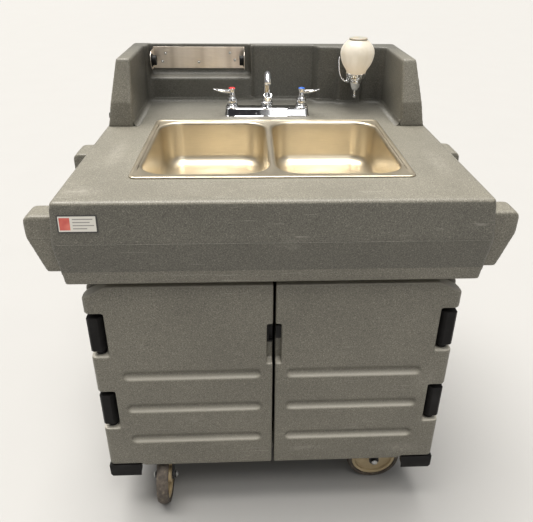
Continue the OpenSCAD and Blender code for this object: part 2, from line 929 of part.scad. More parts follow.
// Blow-moulded tank with a neck; x and w set its place and width
module tank(x, w, d, neck_x, neck_y) {
    translate([x, -120, tank_z]) difference() {
        union() {
            round_plate(w, d, tank_h, 30);
            translate([neck_x - x, neck_y + 120, tank_h - eps]) cylinder(r = 34, h = 14);
        }
        translate([0, 0, 4]) round_plate(w - 8, d - 8, tank_h - 8, 26);
        translate([neck_x - x, neck_y + 120, tank_h - 10]) cylinder(r = 30, h = 30);
    }
}

module waste_tank() {
    color("#b9b4a6") tank(-235, 300, 390, -drain_x, drain_y);
}

module fresh_tank() {
    color("#dfe6ea") tank(150, 260, 390, 150, 0);
}

// Screw cap; its centre hole takes a hose
module tank_cap(hole_r) {
    translate([0, 0, tank_z + tank_h + 1]) difference() {
        cylinder(r = 40, h = 19);
        translate([0, 0, -1]) cylinder(r = 34.4, h = 14);
        translate([0, 0, -1]) cylinder(r = hole_r, h = 30);
    }
}

module waste_cap() {
    color("#3c3c3c") translate([-drain_x, drain_y, 0]) {
        tank_cap(16);
        translate([0, 0, tank_z + tank_h + 12]) difference() {
            cylinder(r = 15.6, h = 26);
            translate([0, 0, -1]) cylinder(r = 12, h = 30);
        }
    }
}

module fresh_cap() {
    color("#2c55b0") translate([150, 0, 0]) tank_cap(8);
}

module water_heater() {
    color("#e9e8e4") translate([250, 250, tank_z]) {
        round_plate(230, 230, 300, 24);
        for (x = [-50, 50]) translate([x, 0, 300 - eps]) cylinder(r = 10, h = 24);
        translate([0, -116.5, 90]) cube([110, 5, 90], center = true);
    }
}

module pump() {
    color("#2f3336") translate([-40, 270, tank_z]) {
        translate([-70, -40, 0]) cube([140, 80, 6]);
        translate([-10, 0, 42]) rod_x(33, 100);
        translate([30, -36, 8]) cube([40, 72, 70]);
        translate([50, 0, 78 - eps]) cylinder(r = 8, h = 20);
        translate([50, -30, 60]) rotate([90, 0, 0]) cylinder(r = 7, h = 26);
    }
}

// Hose along a route of straight runs with ball corners
module hose(route, r) {
    for (i = [0:len(route) - 2]) {
        run = route[i + 1] - route[i];
        translate(route[i])
            rotate([0, acos(run[2] / norm(run)), atan2(run[1], run[0])])
                cylinder(r = r, h = norm(run), $fn = 32);
    }
    for (i = [1:len(route) - 2]) translate(route[i]) sphere(r + 0.6, $fn = 32);
}

// Suction, pump to heater, and the hot and cold risers to the valves
module supply_hoses() {
    heater_top = tank_z + 324;
    color("#a9adb0") {
        hose([[150, 0, tank_z + 60], [150, 0, 600], [40, 120, 600], [10, 180, 400],
            [10, 190, tank_z + 60], [10, 213.9, tank_z + 60]], 6.5);
        hose([[10, 270, tank_z + 98], [10, 270, 640], [valve_x, faucet_y, 720],
            [valve_x, faucet_y, deck_z - 60]], 6.5);
        hose([[10, 270, 600], [200, 250, 600], [200, 250, heater_top]], 6.5);
        hose([[300, 250, heater_top], [300, 250, 640], [-60, faucet_y, 660],
            [-valve_x, faucet_y, 720], [-valve_x, faucet_y, deck_z - 60]], 6.5);
    }
}

// Switch box through the cabinet's back, with a flanged power inlet outside
module control_box() {
    color("#34363a") translate([-275, 0, 500]) difference() {
        union() {
            translate([-42, body_back_y - wall_t - 60, -27]) cube([84, 60 + wall_t, 54]);
            translate([0, body_back_y - 1, 0]) rod_y(25, 8);
        }
        translate([0, body_back_y + 4, 0]) rod_y(19, 24);
        translate([-12.2, body_back_y - wall_t - 61, -8.2]) cube([24.4, 9, 16.4]);
        translate([0, body_back_y - wall_t - 54, 0]) rod_x(2.05, 40);
    }
}

// Rocker on its cross pin
module rocker_switch() {
    color("#b8262c") translate([-275, body_back_y - wall_t - 54, 500]) {
        along_x(-11.8, 11.8) polygon([[-8, 6.4], [-5.5, -6.4], [1, -3.5], [1, 3.5]]);
        rod_x(2, 36);
    }
}

countertop();
backsplash();
backsplash_knobs();
info_plate();
sink_basin();
sink_gasket();
underside_clamps();
drain_strainers();
drain_manifold();
drain_hose();
faucet_body();
faucet_bonnets();
hot_lever();
cold_lever();
hot_cap();
cold_cap();
spout();
aerator();
towel_plate();
towel_hubs();
towel_screws();
soap_bracket();
soap_globe();
soap_cap();
soap_valve();
soap_plunger();
cabinet_body();
left_door();
right_door();
left_hinge_knuckles();
right_hinge_knuckles();
hinge_brackets();
hinge_pins();
latch_lever();
latch_strike();
door_catches();
corner_bumpers();
rigid_forks();
swivel_plates();
front_swivel_fork();
rear_swivel_fork();
front_brake_pedal();
rear_brake_pedal();
front_left_tyre();
front_left_hub();
rear_left_tyre();
rear_left_hub();
front_right_tyre();
front_right_hub();
rear_right_tyre();
rear_right_hub();
waste_tank();
waste_cap();
fresh_tank();
fresh_cap();
water_heater();
pump();
supply_hoses();
control_box();
rocker_switch();
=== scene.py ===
"""Looks of a portable handwash sink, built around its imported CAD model.

Sizes below are millimetres in the CAD frame: +X right, -Y front, +Z up, origin on the floor.
"""

import json
import math

import bmesh
import bpy
import numpy as np
from mathutils import Matrix, Vector
from mathutils.geometry import tessellate_polygon

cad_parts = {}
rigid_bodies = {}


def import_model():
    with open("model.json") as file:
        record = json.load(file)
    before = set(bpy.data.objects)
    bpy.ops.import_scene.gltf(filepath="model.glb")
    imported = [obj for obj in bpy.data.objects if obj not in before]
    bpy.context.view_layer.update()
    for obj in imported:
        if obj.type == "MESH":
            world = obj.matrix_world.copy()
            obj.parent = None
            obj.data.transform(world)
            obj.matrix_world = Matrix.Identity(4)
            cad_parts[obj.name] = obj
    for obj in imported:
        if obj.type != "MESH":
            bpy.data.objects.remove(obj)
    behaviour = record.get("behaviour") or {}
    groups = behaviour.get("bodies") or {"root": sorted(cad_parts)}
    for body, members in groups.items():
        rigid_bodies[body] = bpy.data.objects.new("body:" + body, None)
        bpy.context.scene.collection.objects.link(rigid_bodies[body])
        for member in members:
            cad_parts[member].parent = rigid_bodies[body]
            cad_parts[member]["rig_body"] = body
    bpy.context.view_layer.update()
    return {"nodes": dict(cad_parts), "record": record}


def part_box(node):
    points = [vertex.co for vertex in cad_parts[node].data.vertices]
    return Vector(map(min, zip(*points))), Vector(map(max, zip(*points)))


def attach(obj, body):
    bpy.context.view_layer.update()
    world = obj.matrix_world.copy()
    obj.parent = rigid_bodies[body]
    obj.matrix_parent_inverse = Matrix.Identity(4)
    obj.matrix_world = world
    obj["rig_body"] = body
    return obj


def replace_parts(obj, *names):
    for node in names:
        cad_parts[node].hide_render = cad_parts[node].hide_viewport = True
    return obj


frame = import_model()
SLOT_OF = {part["node"]: part["material_slot"] for part in frame["record"]["subparts"]}
UNIT = 0.001
VALVE_X = 101.6
PARTING_Z = 850
AXLE_END = 30.4
FLOOR_EDGE = 40


# ---------- places ----------


def box(*names):
    """Lowest and highest corner of some CAD nodes together, in millimetres."""
    corners = [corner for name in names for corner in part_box(name)]
    low = Vector(min(c[k] for c in corners) for k in range(3)) / UNIT
    high = Vector(max(c[k] for c in corners) for k in range(3)) / UNIT
    return low, high


def middle(*names):
    low, high = box(*names)
    return (low + high) / 2


# ---------- materials ----------


class Shader:
    """A node material with short calls for what its surface needs."""

    def __init__(self, name, colour, roughness, metallic=0.0):
        self.material = bpy.data.materials.new(name)
        self.material.use_nodes = True
        self.material.diffuse_color = (*colour, 1)
        self.nodes = self.material.node_tree.nodes
        self.links = self.material.node_tree.links
        self.surface = self.nodes["Principled BSDF"]
        self.surface.inputs["Base Color"].default_value = (*colour, 1)
        self.surface.inputs["Roughness"].default_value = roughness
        self.surface.inputs["Metallic"].default_value = metallic
        self.place = self.nodes.new("ShaderNodeTexCoord").outputs["Object"]
        self.heights = []

    def set(self, **values):
        for name, value in values.items():
            self.surface.inputs[name.replace("_", " ")].default_value = value
        return self

    def link(self, output, name):
        self.links.new(output, self.surface.inputs[name])
        return self

    def stretched(self, scale):
        """The place, scaled by a vector, so that a pattern runs along one axis.

        An even pattern is turned, because noise is flat where a wall lies on its lattice.
        """
        mapping = self.nodes.new("ShaderNodeMapping")
        if scale == (1, 1, 1):
            mapping.inputs["Rotation"].default_value = (0.4, 0.7, 0.2)
        mapping.inputs["Scale"].default_value = scale
        self.links.new(self.place, mapping.inputs["Vector"])
        return mapping.outputs["Vector"]

    def noise(self, size, detail=2.0, along=(1, 1, 1), distortion=0.0):
        """Noise whose blotches are about size millimetres across."""
        texture = self.nodes.new("ShaderNodeTexNoise")
        texture.inputs["Scale"].default_value = 1 / (size * UNIT)
        texture.inputs["Detail"].default_value = detail
        texture.inputs["Distortion"].default_value = distortion
        self.links.new(self.stretched(along), texture.inputs["Vector"])
        return texture.outputs["Fac"]

    def ramp(self, value, stops):
        """A colour ramp; each stop is a position and a colour or a grey level."""
        ramp = self.nodes.new("ShaderNodeValToRGB")
        elements = ramp.color_ramp.elements
        while len(elements) < len(stops):
            elements.new(0.5)
        for element, (position, colour) in zip(elements, stops):
            element.position = position
            element.color = (*colour, 1) if hasattr(colour, "__len__") else (*[colour] * 3, 1)
        self.links.new(value, ramp.inputs["Fac"])
        return ramp.outputs["Color"]

    def math(self, operation, first, second=0.0):
        node = self.nodes.new("ShaderNodeMath")
        node.operation = operation
        for socket, value in zip(node.inputs, (first, second)):
            if isinstance(value, (int, float)):
                socket.default_value = value
            else:
                self.links.new(value, socket)
        return node.outputs["Value"]

    def mix(self, first, second, share, blend="MIX"):
        """Mixes two colours; share is a number or a socket."""
        node = self.nodes.new("ShaderNodeMix")
        node.data_type = "RGBA"
        node.blend_type = blend
        sockets = [s for s in node.inputs if s.enabled]
        for socket, value in zip(sockets, (share, first, second)):
            if isinstance(value, bpy.types.NodeSocket):
                self.links.new(value, socket)
            elif hasattr(value, "__len__"):
                socket.default_value = (*value, 1)
            else:
                socket.default_value = value
        return next(s for s in node.outputs if s.enabled)

    def smear(self, centre, size):
        """A soft patch about a point, 1 in its middle and 0 outside the given half sizes."""
        mapping = self.nodes.new("ShaderNodeMapping")
        mapping.vector_type = "TEXTURE"
        mapping.inputs["Location"].default_value = Vector(centre) * UNIT
        mapping.inputs["Scale"].default_value = Vector(size) * UNIT
        self.links.new(self.place, mapping.inputs["Vector"])
        length = self.nodes.new("ShaderNodeVectorMath")
        length.operation = "LENGTH"
        self.links.new(mapping.outputs["Vector"], length.inputs[0])
        patch = self.nodes.new("ShaderNodeMapRange")
        patch.inputs["From Min"].default_value = 1
        patch.inputs["From Max"].default_value = 0.2
        self.links.new(length.outputs["Value"], patch.inputs["Value"])
        return patch.outputs["Result"]

    def inside(self, low, high):
        """1 inside a box given in millimetres, 0 outside it."""
        split = self.nodes.new("ShaderNodeSeparateXYZ")
        self.links.new(self.place, split.inputs["Vector"])
        share = 1.0
        for axis, start, end in zip("XYZ", low, high):
            if start is not None:
                above = self.math("GREATER_THAN", split.outputs[axis], start * UNIT)
                below = self.math("LESS_THAN", split.outputs[axis], end * UNIT)
                share = self.math("MULTIPLY", share, self.math("MULTIPLY", above, below))
        return share

    def between(self, axis, start, end):
        """Runs from 0 at start to 1 at end, both in millimetres along an axis."""
        split = self.nodes.new("ShaderNodeSeparateXYZ")
        self.links.new(self.place, split.inputs["Vector"])
        spread = self.nodes.new("ShaderNodeMapRange")
        spread.inputs["From Min"].default_value = start * UNIT
        spread.inputs["From Max"].default_value = end * UNIT
        self.links.new(split.outputs[axis], spread.inputs["Value"])
        return spread.outputs["Result"]

    def facing_up(self):
        """1 where the surface faces up, 0 where it is upright or faces down."""
        geometry = self.nodes.new("ShaderNodeNewGeometry")
        split = self.nodes.new("ShaderNodeSeparateXYZ")
        self.links.new(geometry.outputs["Normal"], split.inputs["Vector"])
        return self.math("MAXIMUM", split.outputs["Z"], 0.0)

    def rough(self, value, low, high):
        """Roughness that follows a pattern between two levels."""
        spread = self.nodes.new("ShaderNodeMapRange")
        spread.inputs["To Min"].default_value = low
        spread.inputs["To Max"].default_value = high
        self.links.new(value, spread.inputs["Value"])
        return self.link(spread.outputs["Result"], "Roughness")

    def bump(self, value, height):
        """Adds a relief of the given height in millimetres."""
        node = self.nodes.new("ShaderNodeBump")
        node.inputs["Distance"].default_value = height * UNIT
        node.inputs["Strength"].default_value = 1.0
        self.links.new(value, node.inputs["Height"])
        if self.heights:
            self.links.new(self.heights[-1], node.inputs["Normal"])
        self.heights.append(node.outputs["Normal"])
        return self.link(node.outputs["Normal"], "Normal")


# Worn places on the moulding: middle, half size and strength
SMEARS = [
    ((-372, -120, 941), (26, 120, 12), 0.22),
    ((-400, -360, 941), (60, 30, 12), 0.18),
    ((390, -200, 941), (30, 110, 12), 0.16),
    ((-372, 130, 1000), (12, 60, 60), 0.25),
    ((330, -385, 205), (80, 12, 22), 0.22),
    ((90, -385, 215), (70, 12, 10), 0.25),
    ((375, -385, 440), (40, 12, 50), 0.20),
]


def moulding_material(name="moulding"):
    """Rotomoulded plastic with a fine granite speckle, orange peel and light scuffs.

    Some shade is painted into the colour, fixed to the object: it darkens towards the back and
    on the counter's front face, and lightens on the up-facing slopes of the doors' grooves.
    """
    s = Shader(name, (0.165, 0.152, 0.118), 0.5)
    speckle = s.ramp(s.noise(2.3, 3.0), [
        (0.28, (0.075, 0.070, 0.057)), (0.44, (0.130, 0.122, 0.098)),
        (0.56, (0.158, 0.148, 0.120)), (0.72, (0.270, 0.255, 0.208))])
    mottle = s.ramp(s.noise(170, 3.0), [(0.3, 0.90), (0.7, 1.06)])
    body = s.mix(speckle, mottle, 1.0, "MULTIPLY")
    shelter = s.ramp(s.between("Y", 90, 350), [(0.0, (1, 1, 1)), (1.0, (0.58, 0.60, 0.64))])
    body = s.mix(body, shelter, 1.0, "MULTIPLY")
    fascia = s.inside((None, -440, 780), (None, -395, 934))
    body = s.mix(body, (0.66, 0.67, 0.69), s.math("MULTIPLY", fascia, 0.85), "MULTIPLY")
    patches = s.ramp(s.noise(150, 2.0), [(0.48, 0.0), (0.62, 1.0)])
    streaks = s.ramp(s.noise(5, 3.0, (0.04, 1, 1)), [(0.66, 0.0), (0.70, 1.0)])
    rubs = s.ramp(s.noise(22, 5.0, (0.3, 1, 1)), [(0.60, 0.0), (0.74, 1.0)])
    scuffs = s.math("MULTIPLY", patches, s.math("ADD", s.math("MULTIPLY", streaks, 0.45),
        s.math("MULTIPLY", rubs, 0.16)))
    body = s.mix(body, (0.36, 0.345, 0.30), scuffs)
    for centre, size, strength in SMEARS:
        patch = s.math("MULTIPLY", s.smear(centre, size), strength)
        body = s.mix(body, (0.40, 0.38, 0.33), s.math("MULTIPLY", patch,
            s.ramp(s.noise(9, 4.0), [(0.40, 0.2), (0.62, 1.0)])))
    slopes = s.math("MULTIPLY", s.facing_up(), s.inside((None, -400, 170), (None, -350, 735)))
    body = s.mix(body, (0.50, 0.475, 0.41), s.ramp(slopes, [(0.08, 0.0), (0.8, 0.55)]))
    s.link(body, "Base Color")
    s.rough(s.noise(40, 3.0), 0.40, 0.56)
    s.bump(s.noise(5, 2.0), 0.07)
    s.bump(s.noise(1.1, 2.0), 0.05)
    return s.set(Specular_IOR_Level=0.45).material


def brushed_material(name, colour, roughness=0.3, along=(0.02, 1, 1)):
    """Brushed stainless steel; the grain runs along the axis that is stretched."""
    s = Shader(name, colour, roughness, 1.0)
    grain = s.noise(0.7, 2.0, along)
    cloud = s.noise(60, 3.0)
    dark = tuple(c * 0.80 for c in colour)
    s.link(s.mix(s.mix(dark, colour, grain), s.ramp(cloud, [(0.3, 0.92), (0.7, 1.0)]), 1.0,
        "MULTIPLY"), "Base Color")
    s.rough(s.math("ADD", s.math("MULTIPLY", grain, 0.5), s.math("MULTIPLY", cloud, 0.5)),
        roughness - 0.07, roughness + 0.09)
    s.bump(grain, 0.02)
    return s.material


def chrome_material(name="chrome"):
    """Polished chrome plate with faint water marks."""
    s = Shader(name, (0.80, 0.81, 0.83), 0.06, 1.0)
    marks = s.ramp(s.noise(7, 4.0, distortion=0.6), [(0.55, 0.0), (0.72, 1.0)])
    s.link(s.mix((0.82, 0.83, 0.85), (0.66, 0.66, 0.67), marks), "Base Color")
    s.rough(marks, 0.04, 0.16)
    return s.material


def zinc_material(name="zinc_steel"):
    s = Shader(name, (0.55, 0.55, 0.54), 0.38, 1.0)
    spangle = s.noise(4, 3.0)
    s.link(s.ramp(spangle, [(0.35, (0.42, 0.42, 0.41)), (0.65, (0.66, 0.66, 0.65))]), "Base Color")
    s.rough(spangle, 0.28, 0.5)
    s.bump(s.noise(1.2), 0.02)
    return s.material


def plastic_material(name, colour, roughness=0.45, grain=0.05, dirt=0.25, **values):
    """Moulded plastic with a leather-fine grain and dust in patches."""
    s = Shader(name, colour, roughness)
    dust = s.ramp(s.noise(30, 4.0), [(0.48, 0.0), (0.75, 1.0)])
    pale = tuple(min(1.0, c * 1.25 + 0.035) for c in colour)
    s.link(s.mix(colour, pale, s.math("MULTIPLY", dust, dirt)), "Base Color")
    s.rough(s.noise(9, 3.0), max(0.02, roughness - 0.08), roughness + 0.1)
    s.bump(s.noise(0.8, 2.0), grain)
    return s.set(**values).material


def tyre_material(name="tyre"):
    """Worn grey-brown rubber with dust ground into the tread."""
    s = Shader(name, (0.075, 0.06, 0.047), 0.7)
    dust = s.ramp(s.noise(11, 5.0), [(0.38, (0.05, 0.04, 0.033)), (0.55, (0.085, 0.068, 0.052)),
        (0.75, (0.17, 0.14, 0.105))])
    s.link(dust, "Base Color")
    s.rough(s.noise(6, 3.0), 0.6, 0.85)
    s.bump(s.noise(1.4, 3.0), 0.12)
    return s.material


def painted_material(name="painted_steel"):
    """Black coated steel, rubbed grey in places."""
    s = Shader(name, (0.03, 0.03, 0.032), 0.35)
    rubbed = s.ramp(s.noise(16, 5.0), [(0.6, 0.0), (0.72, 1.0)])
    s.link(s.mix((0.022, 0.021, 0.022), (0.11, 0.095, 0.08), s.math("MULTIPLY", rubbed, 0.5)),
        "Base Color")
    s.rough(rubbed, 0.3, 0.6)
    s.bump(s.noise(2.2, 2.0), 0.04)
    return s.set(Specular_IOR_Level=0.6).material


def label_material(name="label"):
    """Printed film with a dark border, a red block and plain grey bars."""
    low, high = box("info_plate")
    s = Shader(name, (0.62, 0.60, 0.55), 0.35)
    x0, x1, z0, z1 = low.x, high.x, low.z, high.z
    field = s.inside((x0 + 3, None, z0 + 3), (x1 - 3, None, z1 - 3))
    red = s.inside((x0 + 5, None, z0 + 6), (x0 + 26, None, z1 - 6))
    face = s.mix((0.03, 0.028, 0.026), (0.60, 0.58, 0.53), field)
    fade = s.ramp(s.noise(26, 1.0), [(0.35, (0.42, 0.03, 0.025)), (0.65, (0.62, 0.16, 0.12))])
    face = s.mix(face, fade, red)
    for step, length in enumerate((40, 34, 42, 28)):
        top = z1 - 8 - 6.5 * step
        bar = s.inside((x0 + 31, None, top - 2.2), (x0 + 31 + length, None, top))
        face = s.mix(face, (0.16, 0.155, 0.15), s.math("MULTIPLY", bar, 0.8))
    s.link(face, "Base Color")
    s.rough(s.noise(12, 3.0), 0.28, 0.45)
    return s.set(Coat_Weight=0.3).material


def towel_material(name="towel_steel"):
    """Satin stainless with soft upright bands of painted reflection in its colour, as a bent plate
    mirrors a room.
    """
    s = Shader(name, (0.60, 0.54, 0.48), 0.34, 1.0)
    # Painted reflection: upright lighter and darker bands in the colour stand in for the room
    # mirrored in the plate.
    painted_reflection_bands = s.ramp(s.noise(34, 2.0, (1, 1, 0.02)), [(0.30, (0.66, 0.59, 0.51)),
        (0.50, (0.84, 0.76, 0.68)), (0.70, (0.95, 0.88, 0.80))])
    grain = s.noise(0.6, 2.0, (0.03, 1, 1))
    s.link(s.mix(painted_reflection_bands, s.ramp(grain, [(0.3, 0.90), (0.7, 1.0)]), 1.0, "MULTIPLY"), "Base Color")
    s.rough(grain, 0.28, 0.42)
    s.bump(grain, 0.015)
    return s.material


def globe_material(name="milky_globe"):
    """Milky blown plastic, yellower where the soap has stood, with a weak painted glow that stands
    in for light passing through it.
    """
    s = Shader(name, (0.36, 0.33, 0.28), 0.34)
    cloud = s.ramp(s.noise(28, 3.0, (1, 1, 0.3)), [(0.3, (0.32, 0.29, 0.235)),
        (0.7, (0.38, 0.35, 0.30))])
    foot = s.smear(middle("soap_globe") - Vector((0, 0, 45)), (70, 70, 55))
    tint_and_glow = s.mix(cloud, (0.37, 0.30, 0.21), s.math("MULTIPLY", foot, 0.8))
    s.link(tint_and_glow, "Base Color")
    # Painted light: the tinted colour, soap stain included, also glows, standing in for light
    # through the milky plastic.
    s.link(tint_and_glow, "Emission Color")
    s.rough(s.noise(18, 3.0), 0.26, 0.42)
    s.bump(s.noise(16, 2.0), 0.25)
    s.set(Subsurface_Weight=0.6, Subsurface_Scale=0.03, Subsurface_Radius=(1.0, 0.8, 0.6))
    # The emission strength sets that painted glow; the globe is no lamp.
    return s.set(Emission_Strength=0.95, Coat_Weight=0.2, Coat_Roughness=0.2).material


MATERIALS = {
    "moulding": moulding_material(),
    "stainless": brushed_material("stainless", (0.78, 0.695, 0.54), 0.33),
    "towel_steel": towel_material(),
    "chrome": chrome_material(),
    "zinc_steel": zinc_material(),
    "black_plastic": plastic_material("black_plastic", (0.006, 0.0055, 0.0055), 0.42, 0.05, 0.2,
        Specular_IOR_Level=0.13),
    "rubber": plastic_material("rubber", (0.022, 0.019, 0.016), 0.75, 0.08, 0.5),
    "tyre": tyre_material(),
    "tan_hub": plastic_material("tan_hub", (0.47, 0.37, 0.22), 0.42, 0.05, 0.5),
    "painted_steel": painted_material(),
    "red_plastic": plastic_material("red_plastic", (0.50, 0.022, 0.025), 0.22, 0.01, 0.1),
    "blue_plastic": plastic_material("blue_plastic", (0.03, 0.11, 0.42), 0.22, 0.01, 0.1),
    "milky_globe": globe_material(),
    "cream_plastic": plastic_material("cream_plastic", (0.30, 0.27, 0.215), 0.4, 0.03, 0.2,
        Subsurface_Weight=0.15, Subsurface_Scale=0.01),
    "label": label_material(),
    "white_pvc": plastic_material("white_pvc", (0.70, 0.69, 0.64), 0.35, 0.02, 0.35),
    "grey_hose": plastic_material("grey_hose", (0.27, 0.28, 0.28), 0.45, 0.03, 0.4),
    "tank_plastic": plastic_material("tank_plastic", (0.62, 0.64, 0.62), 0.5, 0.12, 0.4,
        Subsurface_Weight=0.2, Subsurface_Scale=0.01),
    "heater_enamel": plastic_material("heater_enamel", (0.72, 0.71, 0.68), 0.22, 0.03, 0.2,
        Coat_Weight=0.5),
}


# ---------- mesh tools ----------


def add(name, vertices, faces, smooth=True):
    """A new object from millimetre points."""
    mesh = bpy.data.meshes.new(name)
    mesh.from_pydata([Vector(v) * UNIT for v in vertices], [], faces)
    mesh.update()
    if smooth:
        mesh.shade_smooth()
    made = bpy.data.objects.new(name, mesh)
    bpy.context.scene.collection.objects.link(made)
    return made


def applied(made):
    """Turns an object's modifiers into its own mesh."""
    bpy.context.view_layer.update()
    graph = bpy.context.evaluated_depsgraph_get()
    mesh = bpy.data.meshes.new_from_object(made.evaluated_get(graph))
    made.modifiers.clear()
    made.data = mesh
    return made


def stand_for(made, *nodes, slot=None):
    """The piece takes the body and finish of the CAD nodes that it stands for."""
    made.data.materials.clear()
    made.data.materials.append(MATERIALS[slot or SLOT_OF[nodes[0]]])
    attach(made, frame["nodes"][nodes[0]]["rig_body"])
    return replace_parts(made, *nodes)


def detail(made, node, slot=None):
    """An extra piece that rides with a CAD node and doesn't hide it."""
    made.data.materials.clear()
    made.data.materials.append(MATERIALS[slot or SLOT_OF[node]])
    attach(made, frame["nodes"][node]["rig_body"])
    return made


def modifier(made, kind, **settings):
    new = made.modifiers.new(kind.lower(), kind)
    for name, value in settings.items():
        setattr(new, name, value)
    return new


def soften(made, width, segments=2, angle=32):
    """Rounds an object's hard edges by width millimetres."""
    modifier(made, "WELD", merge_threshold=0.00002)
    modifier(made, "DECIMATE", decimate_type="DISSOLVE", angle_limit=math.radians(0.8))
    modifier(made, "BEVEL", width=width * UNIT, segments=segments, limit_method="ANGLE",
        angle_limit=math.radians(angle), miter_outer="MITER_ARC")
    modifier(made, "WEIGHTED_NORMAL", keep_sharp=False, weight=80)
    return made


def skin(node, voxel, rounds, share, crisp=()):
    """A moulded copy of a CAD node: every edge is rounded as a rotomould leaves it.

    crisp lists boxes in millimetres, with the share of the rounding they still take.
    """
    source = frame["nodes"][node]
    made = bpy.data.objects.new(node + "_skin", source.data.copy())
    bpy.context.scene.collection.objects.link(made)
    made.data.materials.clear()
    modifier(made, "REMESH", mode="VOXEL", voxel_size=voxel * UNIT)
    applied(made)
    mesh = made.data
    count = len(mesh.vertices)
    place = np.empty(count * 3)
    mesh.vertices.foreach_get("co", place)
    place = place.reshape(-1, 3) / UNIT
    ends = np.empty(len(mesh.edges) * 2, int)
    mesh.edges.foreach_get("vertices", ends)
    first, second = ends.reshape(-1, 2).T
    neighbours = np.bincount(first, minlength=count) + np.bincount(second, minlength=count)
    pull = np.full(count, 0.5)
    for low, high, kept in crisp:
        pull[((place > low) & (place < high)).all(1)] = 0.5 * kept
    for _ in range(rounds):
        total = np.stack([np.bincount(first, place[second, k], count)
            + np.bincount(second, place[first, k], count) for k in range(3)], 1)
        place += pull[:, None] * (total / neighbours[:, None] - place)
    mesh.vertices.foreach_set("co", (place * UNIT).ravel())
    mesh.update()
    modifier(made, "DECIMATE", ratio=share)
    applied(made)
    made.data.shade_smooth()
    return stand_for(made, node)


def lathe(name, profile, centre, axis="Z", steps=64, wobble=None):
    """Turns an open or closed profile of (radius, height) points about an axis through centre.

    wobble(angle, radius, height) may return a changed radius.
    """
    points, faces = [], []
    for i in range(steps):
        angle = 2 * math.pi * i / steps
        for radius, height in profile:
            r = wobble(angle, radius, height) if wobble else radius
            points.append(Vector((r * math.cos(angle), r * math.sin(angle), height)))
    rows = len(profile)
    for i in range(steps):
        for j in range(rows - 1):
            a, b = i * rows + j, ((i + 1) % steps) * rows + j
            faces.append((a, b, b + 1, a + 1))
    turn = {"Z": Matrix.Identity(3), "X": Matrix.Rotation(math.pi / 2, 3, "Y"),
        "-X": Matrix.Rotation(-math.pi / 2, 3, "Y"), "Y": Matrix.Rotation(-math.pi / 2, 3, "X"),
        "-Y": Matrix.Rotation(math.pi / 2, 3, "X")}[axis]
    made = add(name, [turn @ p + Vector(centre) for p in points], faces)
    return clean(made)


def clean(made):
    """Welds a mesh and turns its faces outwards."""
    shape = bmesh.new()
    shape.from_mesh(made.data)
    bmesh.ops.remove_doubles(shape, verts=shape.verts, dist=0.000005)
    bmesh.ops.dissolve_degenerate(shape, dist=0.000002, edges=shape.edges)
    bmesh.ops.recalc_face_normals(shape, faces=shape.faces)
    shape.to_mesh(made.data)
    shape.free()
    made.data.shade_smooth()
    return made


def loft(name, rings, closed_ends=True):
    """Joins rings of equal length into a tube."""
    count = len(rings[0])
    points = [p for ring in rings for p in ring]
    faces = []
    for i in range(len(rings) - 1):
        for j in range(count):
            a, b = i * count + j, i * count + (j + 1) % count
            faces.append((a, b, b + count, a + count))
    if closed_ends:
        faces.append(tuple(range(count))[::-1])
        faces.append(tuple(range((len(rings) - 1) * count, len(rings) * count)))
    return clean(add(name, points, faces))


def tube(name, route, radius, sides=16):
    """A round tube along a route of points."""
    route = [Vector(p) for p in route]
    rings, side = [], None
    for i, point in enumerate(route):
        ahead = (route[min(i + 1, len(route) - 1)] - route[max(i - 1, 0)]).normalized()
        if side is None:
            side = ahead.cross(Vector((0.3, 0.2, 1))).normalized()
        side = (side - ahead * side.dot(ahead)).normalized()
        other = ahead.cross(side)
        r = radius[i] if hasattr(radius, "__len__") else radius
        rings.append([point + r * (math.cos(a) * side + math.sin(a) * other)
            for a in (2 * math.pi * k / sides for k in range(sides))])
    return loft(name, rings)


def round_rect(centre, half_x, half_y, radius, z, corner=9, straight=8):
    """Points of a rectangle with round corners, as many on every rectangle."""
    points = []
    for quarter in range(4):
        angle = quarter * math.pi / 2
        sx, sy = [(1, 1), (-1, 1), (-1, -1), (1, -1)][quarter]
        hub = Vector((centre[0] + sx * (half_x - radius), centre[1] + sy * (half_y - radius), z))
        arc = [hub + radius * Vector((math.cos(angle + t), math.sin(angle + t), 0))
            for t in (math.pi / 2 * k / corner for k in range(corner + 1))]
        points += arc
        nx, ny = [(-1, 1), (-1, -1), (1, -1), (1, 1)][quarter]
        hub = Vector((centre[0] + nx * (half_x - radius), centre[1] + ny * (half_y - radius), z))
        after = angle + math.pi / 2
        target = hub + radius * Vector((math.cos(after), math.sin(after), 0))
        points += [arc[-1].lerp(target, k / straight) for k in range(1, straight)]
    return points


# ---------- counter, backsplash, cabinet and doors ----------


def make_skins():
    counter = skin("countertop", 3.2, 9, 0.25)
    splash_low = box("backsplash")[0]
    foot = (splash_low - Vector((9, 9, 9)), Vector((999, 999, splash_low.z + 5)), 0.0)
    skin("backsplash", 3.2, 8, 0.28, [foot])
    skin("cabinet_body", 4.0, 4, 0.25)
    for side in ("left", "right"):
        skin(side + "_door", 2.4, 4, 0.25)
    parting_line(counter, PARTING_Z)


